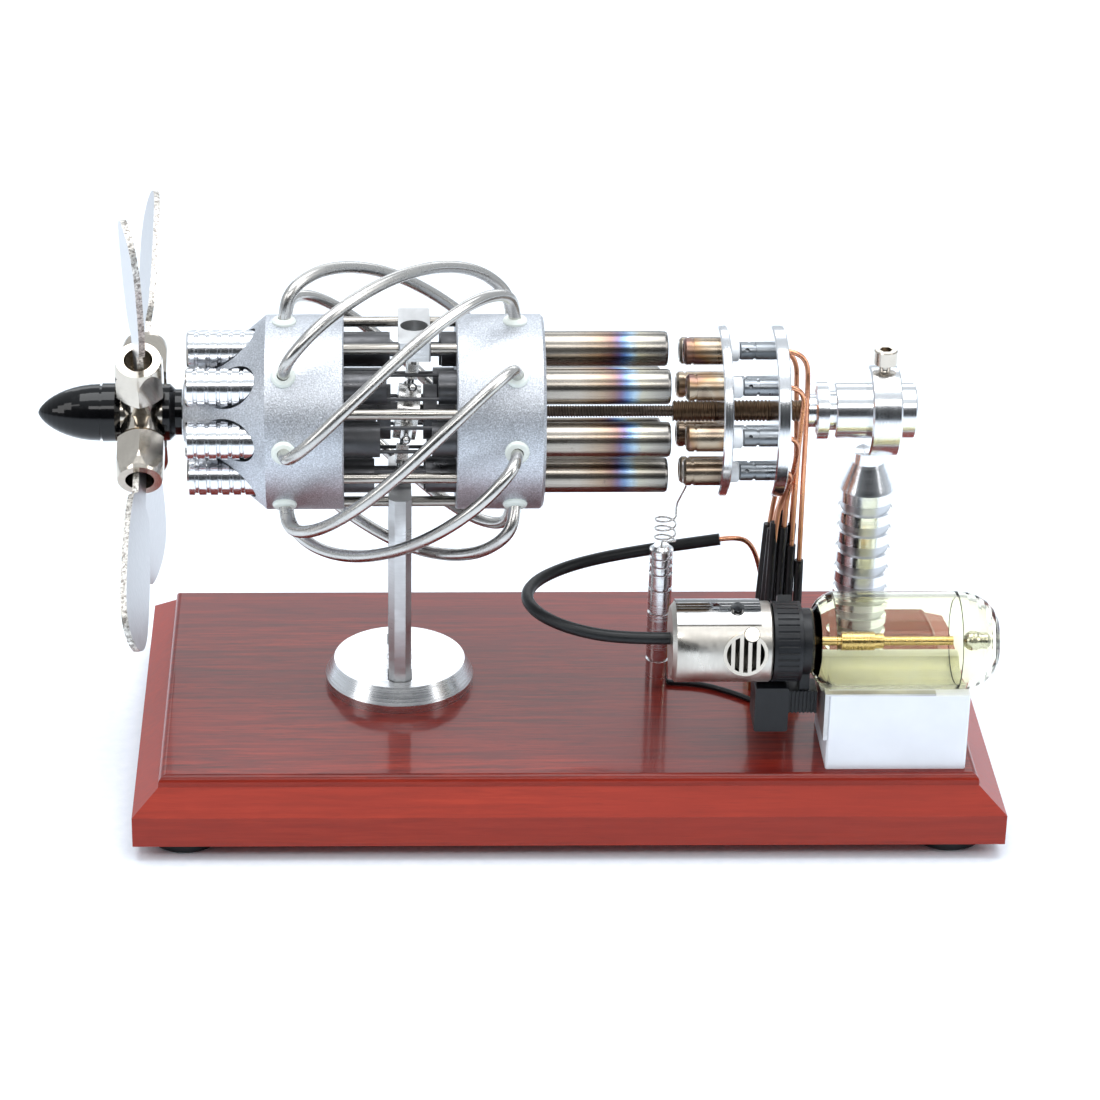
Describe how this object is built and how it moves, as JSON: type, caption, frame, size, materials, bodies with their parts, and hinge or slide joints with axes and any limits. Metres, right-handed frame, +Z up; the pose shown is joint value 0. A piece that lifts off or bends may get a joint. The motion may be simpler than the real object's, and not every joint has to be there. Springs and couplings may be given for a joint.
{
  "type": "stirling engine model",
  "caption": "Desktop hot-air engine model with a wooden base, twisted gas tubes, swash mechanism, propeller, ring burner and gas torch.",
  "frame": {"origin": "on the surface the feet stand on, under the middle of the wooden base", "axes": "+X along the engine away from the propeller, +Y away from the torch side, +Z up"},
  "size_m": [0.2777, 0.145, 0.1841],
  "materials": {
    "lacquered_wood": "gloss lacquer",
    "rubber_black": "matte",
    "steel_dark": "ground",
    "steel_bright": "polished",
    "steel_blued": "heat tinted",
    "alu_blasted": "bead blasted",
    "alu_turned": "turned",
    "alu_sheet": "brushed",
    "nickel": "nickel plated",
    "chrome": "mirror",
    "bronze": "satin",
    "brass": "polished",
    "copper": "bright",
    "black_gloss": "gloss",
    "black_plastic": "matte",
    "white_plastic": "satin",
    "sealant_white": "matte",
    "clear_amber": "clear"
  },
  "bodies": {
    "base": {"base_board": "lacquered_wood", "rubber_feet": "rubber_black", "foot_screws": "steel_bright", "stand_disc": "alu_turned", "front_post": "steel_bright", "top_block": "alu_sheet", "front_housing": "alu_blasted", "rear_housing": "alu_blasted", "shaft_bushes": "bronze", "tie_rods": "steel_bright", "power_cylinders": "alu_turned", "hot_cylinders": "steel_blued", "transfer_tubes": "steel_bright", "tube_seals": "sealant_white", "center_rod": "steel_dark", "burner_sleeve": "steel_blued", "burner_nozzles": "steel_blued", "nozzle_bushes": "white_plastic", "gas_jets": "steel_dark", "copper_pipes": "copper", "pipe_sleeves": "rubber_black", "gas_manifold": "brass", "rear_shaft": "alu_turned", "clamp_ring": "alu_turned", "socket_screws": "steel_bright", "rear_post": "alu_turned", "ignition_post": "alu_turned", "electrode_spring": "steel_bright", "ignition_wire": "black_plastic", "torch_barrel": "nickel", "torch_cover": "chrome", "torch_grille": "nickel", "torch_neck": "black_plastic", "fuel_tank": "clear_amber", "tank_cap": "clear_amber", "fill_valve": "steel_bright", "brass_stem": "brass", "piezo_guide": "black_plastic", "tank_bracket": "alu_sheet", "cradle_block": "white_plastic", "gas_hose": "rubber_black", "burner_front_disc": "alu_turned", "burner_rear_disc": "alu_turned"},
    "rotor": {"spinner": "black_gloss", "prop_hub": "nickel", "prop_nuts": "nickel", "prop_blades": "alu_sheet", "rotor_collar": "black_gloss", "crankshaft": "steel_bright"},
    "wobble": {"wobble_plate": "alu_sheet"},
    "flame_ring": {"adjuster_ring": "black_plastic"},
    "trigger": {"torch_trigger": "black_plastic"},
    "pistons_1": {"piston_set_1": "steel_dark"},
    "pistons_2": {"piston_set_2": "steel_dark"},
    "pistons_3": {"piston_set_3": "steel_dark"},
    "pistons_4": {"piston_set_4": "steel_dark"},
    "pistons_5": {"piston_set_5": "steel_dark"},
    "pistons_6": {"piston_set_6": "steel_dark"},
    "pistons_7": {"piston_set_7": "steel_dark"},
    "pistons_8": {"piston_set_8": "steel_dark"}
  },
  "joints": [
    {"name": "propeller_spin", "type": "hinge", "parent": "base", "child": "rotor", "pos_m": [-0.046, 0, 0.1116], "axis": [1, 0, 0], "continuous": true},
    {"name": "wobble_counter_spin", "type": "hinge", "parent": "rotor", "child": "wobble", "pos_m": [-0.046, 0, 0.1116], "axis": [0.9918, -0.0221, -0.1256], "continuous": true},
    {"name": "piston_slide_1", "type": "slide", "parent": "base", "child": "pistons_1", "axis": [1, 0, 0], "range_m": [-0.00207, 0.00293]},
    {"name": "piston_slide_2", "type": "slide", "parent": "base", "child": "pistons_2", "axis": [1, 0, 0], "range_m": [-0.00393, 0.00107]},
    {"name": "piston_slide_3", "type": "slide", "parent": "base", "child": "pistons_3", "axis": [1, 0, 0], "range_m": [-0.00496, 0.00004]},
    {"name": "piston_slide_4", "type": "slide", "parent": "base", "child": "pistons_4", "axis": [1, 0, 0], "range_m": [-0.00455, 0.00045]},
    {"name": "piston_slide_5", "type": "slide", "parent": "base", "child": "pistons_5", "axis": [1, 0, 0], "range_m": [-0.00293, 0.00207]},
    {"name": "piston_slide_6", "type": "slide", "parent": "base", "child": "pistons_6", "axis": [1, 0, 0], "range_m": [-0.00107, 0.00393]},
    {"name": "piston_slide_7", "type": "slide", "parent": "base", "child": "pistons_7", "axis": [1, 0, 0], "range_m": [-0.00004, 0.00496]},
    {"name": "piston_slide_8", "type": "slide", "parent": "base", "child": "pistons_8", "axis": [1, 0, 0], "range_m": [-0.00045, 0.00455]},
    {"name": "flame_ring_turn", "type": "hinge", "parent": "base", "child": "flame_ring", "pos_m": [0.062, -0.041, 0.0578], "axis": [1, 0, 0], "range_deg": [-40, 40]},
    {"name": "trigger_press", "type": "slide", "parent": "base", "child": "trigger", "axis": [1, 0, 0], "range_m": [0, 0.003], "stiffness_N_per_m": 400}
  ],
  "couplings": [
    {"joint": "wobble_counter_spin", "follows": "propeller_spin", "ratio": -1},
    {"joint": "piston_slide_5", "follows": "piston_slide_1", "ratio": -1},
    {"joint": "piston_slide_6", "follows": "piston_slide_2", "ratio": -1},
    {"joint": "piston_slide_7", "follows": "piston_slide_3", "ratio": -1},
    {"joint": "piston_slide_8", "follows": "piston_slide_4", "ratio": -1}
  ]
}
